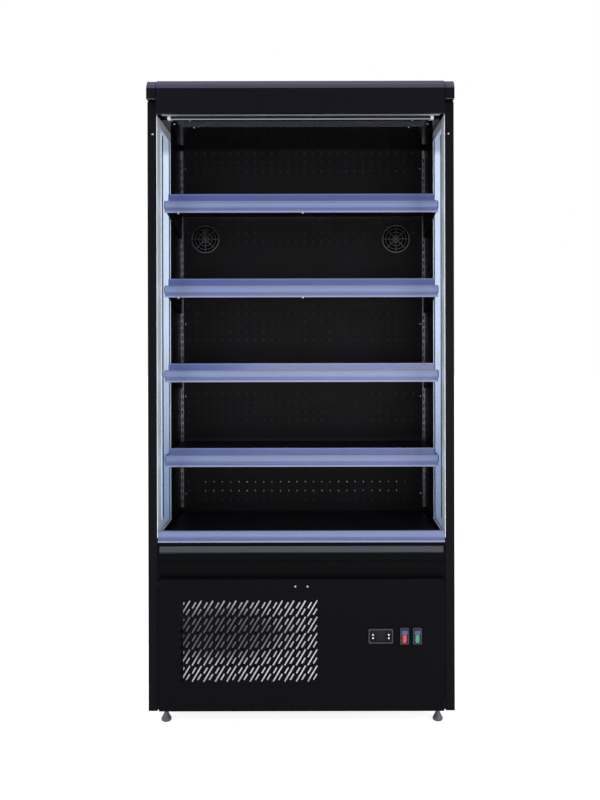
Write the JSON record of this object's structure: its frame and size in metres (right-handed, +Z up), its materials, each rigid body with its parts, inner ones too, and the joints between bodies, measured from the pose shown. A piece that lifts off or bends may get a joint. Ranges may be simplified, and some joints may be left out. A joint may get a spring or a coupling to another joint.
{
  "type": "open multideck display fridge",
  "caption": "Upright open-front display fridge with glazed end windows, hooked shelves with price rails, a roller night blind and a plug-in refrigeration unit behind a slotted base panel",
  "frame": {"origin": "middle of the footprint at floor level, where the feet stand", "axes": "+Z up, -Y towards the shopper, +X to the shopper's right"},
  "size_m": [0.955, 0.68, 2.018],
  "materials": {
    "cabinet_black": "satin",
    "service_black": "satin",
    "sill_black": "satin",
    "soffit_dark": "matte",
    "inner_dark": "matte",
    "shelf_dark": "satin",
    "base_steel": "satin",
    "compressor_black": "gloss",
    "window_glass": "clear",
    "window_aluminium": "satin",
    "blind_aluminium": "satin",
    "coil_aluminium": "satin",
    "copper_pipe": "satin",
    "screw_steel": "satin",
    "upright_steel": "satin",
    "honeycomb_plastic": "matte",
    "lamp_tube": "matte",
    "bumper_rubber": "matte",
    "rail_blue": "gloss",
    "riser_clear": "gloss",
    "control_plastic": "matte",
    "button_plastic": "matte",
    "guard_plastic": "matte",
    "fan_plastic": "matte",
    "red_switch": "gloss",
    "green_switch": "gloss",
    "foot_plastic": "matte",
    "blind_fabric": "matte"
  },
  "bodies": {
    "cabinet": {"left_end_panel": "cabinet_black", "right_end_panel": "cabinet_black", "window_glass": "window_glass", "window_trims": "window_aluminium", "rear_wall": "cabinet_black", "roof_panel": "cabinet_black", "cabinet_floor": "inner_dark", "base_frame": "base_steel", "inner_back_panel": "inner_dark", "shelf_uprights": "upright_steel", "canopy_fascia": "cabinet_black", "canopy_end_caps": "cabinet_black", "canopy_soffit": "soffit_dark", "air_outlet_honeycomb": "honeycomb_plastic", "canopy_lamp": "lamp_tube", "front_sill": "sill_black", "bumper_rail": "bumper_rubber", "deck_price_rail": "rail_blue", "return_air_grille": "inner_dark", "service_panel": "service_black", "control_bezels": "control_plastic", "compressor": "compressor_black", "condenser_coil": "coil_aluminium", "condenser_fan_shroud": "base_steel", "condensate_tray": "base_steel", "refrigerant_lines": "copper_pipe", "evaporator_coil": "coil_aluminium", "evaporator_fan_housings": "guard_plastic", "electrical_box": "control_plastic", "rear_grille": "service_black", "panel_screws": "screw_steel"},
    "blind_bar": {"blind_pull_bar": "blind_aluminium", "blind_fabric": "blind_fabric"},
    "blind_roller_body": {"blind_roller": "blind_aluminium"},
    "power_switch": {"power_rocker": "red_switch"},
    "light_switch": {"light_rocker": "green_switch"},
    "button_1": {"controller_button_1": "button_plastic"},
    "button_2": {"controller_button_2": "button_plastic"},
    "button_3": {"controller_button_3": "button_plastic"},
    "button_4": {"controller_button_4": "button_plastic"},
    "condenser_rotor": {"condenser_fan": "fan_plastic"},
    "duct_rotor_left": {"evaporator_fan_left": "fan_plastic"},
    "duct_rotor_right": {"evaporator_fan_right": "fan_plastic"},
    "deck": {"deck_pan": "shelf_dark"},
    "shelf_1": {"shelf_1_tray": "shelf_dark", "shelf_1_price_rail": "rail_blue", "shelf_1_riser": "riser_clear"},
    "shelf_2": {"shelf_2_tray": "shelf_dark", "shelf_2_price_rail": "rail_blue", "shelf_2_riser": "riser_clear"},
    "shelf_3": {"shelf_3_tray": "shelf_dark", "shelf_3_price_rail": "rail_blue", "shelf_3_riser": "riser_clear"},
    "shelf_4": {"shelf_4_tray": "shelf_dark", "shelf_4_price_rail": "rail_blue", "shelf_4_riser": "riser_clear"},
    "foot_front_left": {"foot_front_left": "foot_plastic"},
    "foot_front_right": {"foot_front_right": "foot_plastic"},
    "foot_rear_left": {"foot_rear_left": "foot_plastic"},
    "foot_rear_right": {"foot_rear_right": "foot_plastic"}
  },
  "joints": [
    {"name": "blind_pull", "type": "slide", "parent": "cabinet", "child": "blind_bar", "axis": [0, 0, -1], "range_m": [0, 1.27], "stiffness_N_per_m": 3, "springref_m": -2, "deforming": ["blind_fabric"]},
    {"name": "blind_roll", "type": "hinge", "parent": "cabinet", "child": "blind_roller_body", "pos_m": [0, -0.265, 1.943], "axis": [1, 0, 0], "range_deg": [0, 4100]},
    {"name": "power_rock", "type": "hinge", "parent": "cabinet", "child": "power_switch", "pos_m": [0.3185, -0.324, 0.2995], "axis": [1, 0, 0], "range_deg": [-20, 0]},
    {"name": "light_rock", "type": "hinge", "parent": "cabinet", "child": "light_switch", "pos_m": [0.3582, -0.324, 0.2995], "axis": [1, 0, 0], "range_deg": [-20, 0]},
    {"name": "button_1_press", "type": "slide", "parent": "cabinet", "child": "button_1", "axis": [0, 1, 0], "range_m": [0, 0.001], "stiffness_N_per_m": 300, "springref_m": -0.002},
    {"name": "button_2_press", "type": "slide", "parent": "cabinet", "child": "button_2", "axis": [0, 1, 0], "range_m": [0, 0.001], "stiffness_N_per_m": 300, "springref_m": -0.002},
    {"name": "button_3_press", "type": "slide", "parent": "cabinet", "child": "button_3", "axis": [0, 1, 0], "range_m": [0, 0.001], "stiffness_N_per_m": 300, "springref_m": -0.002},
    {"name": "button_4_press", "type": "slide", "parent": "cabinet", "child": "button_4", "axis": [0, 1, 0], "range_m": [0, 0.001], "stiffness_N_per_m": 300, "springref_m": -0.002},
    {"name": "condenser_spin", "type": "hinge", "parent": "cabinet", "child": "condenser_rotor", "pos_m": [-0.16, -0.19, 0.265], "axis": [0, 1, 0], "continuous": true},
    {"name": "duct_spin_left", "type": "hinge", "parent": "cabinet", "child": "duct_rotor_left", "pos_m": [-0.361, 0.209, 1.583], "axis": [0, 1, 0], "continuous": true},
    {"name": "duct_spin_right", "type": "hinge", "parent": "cabinet", "child": "duct_rotor_right", "pos_m": [0.345, 0.209, 1.583], "axis": [0, 1, 0], "continuous": true},
    {"name": "deck_lift", "type": "slide", "parent": "cabinet", "child": "deck", "axis": [0, 0, 1], "range_m": [0, 0.05]},
    {"name": "shelf_1_lift", "type": "slide", "parent": "cabinet", "child": "shelf_1", "axis": [0, 0, 1], "range_m": [0, 0.008]},
    {"name": "shelf_2_lift", "type": "slide", "parent": "cabinet", "child": "shelf_2", "axis": [0, 0, 1], "range_m": [0, 0.008]},
    {"name": "shelf_3_lift", "type": "slide", "parent": "cabinet", "child": "shelf_3", "axis": [0, 0, 1], "range_m": [0, 0.008]},
    {"name": "shelf_4_lift", "type": "slide", "parent": "cabinet", "child": "shelf_4", "axis": [0, 0, 1], "range_m": [0, 0.008]},
    {"name": "foot_front_left_screw", "type": "slide", "parent": "cabinet", "child": "foot_front_left", "axis": [0, 0, -1], "range_m": [0, 0.02]},
    {"name": "foot_front_right_screw", "type": "slide", "parent": "cabinet", "child": "foot_front_right", "axis": [0, 0, -1], "range_m": [0, 0.02]},
    {"name": "foot_rear_left_screw", "type": "slide", "parent": "cabinet", "child": "foot_rear_left", "axis": [0, 0, -1], "range_m": [0, 0.02]},
    {"name": "foot_rear_right_screw", "type": "slide", "parent": "cabinet", "child": "foot_rear_right", "axis": [0, 0, -1], "range_m": [0, 0.02]}
  ],
  "couplings": [
    {"joint": "blind_roll", "follows": "blind_pull", "rad_per_m": 55.556}
  ]
}
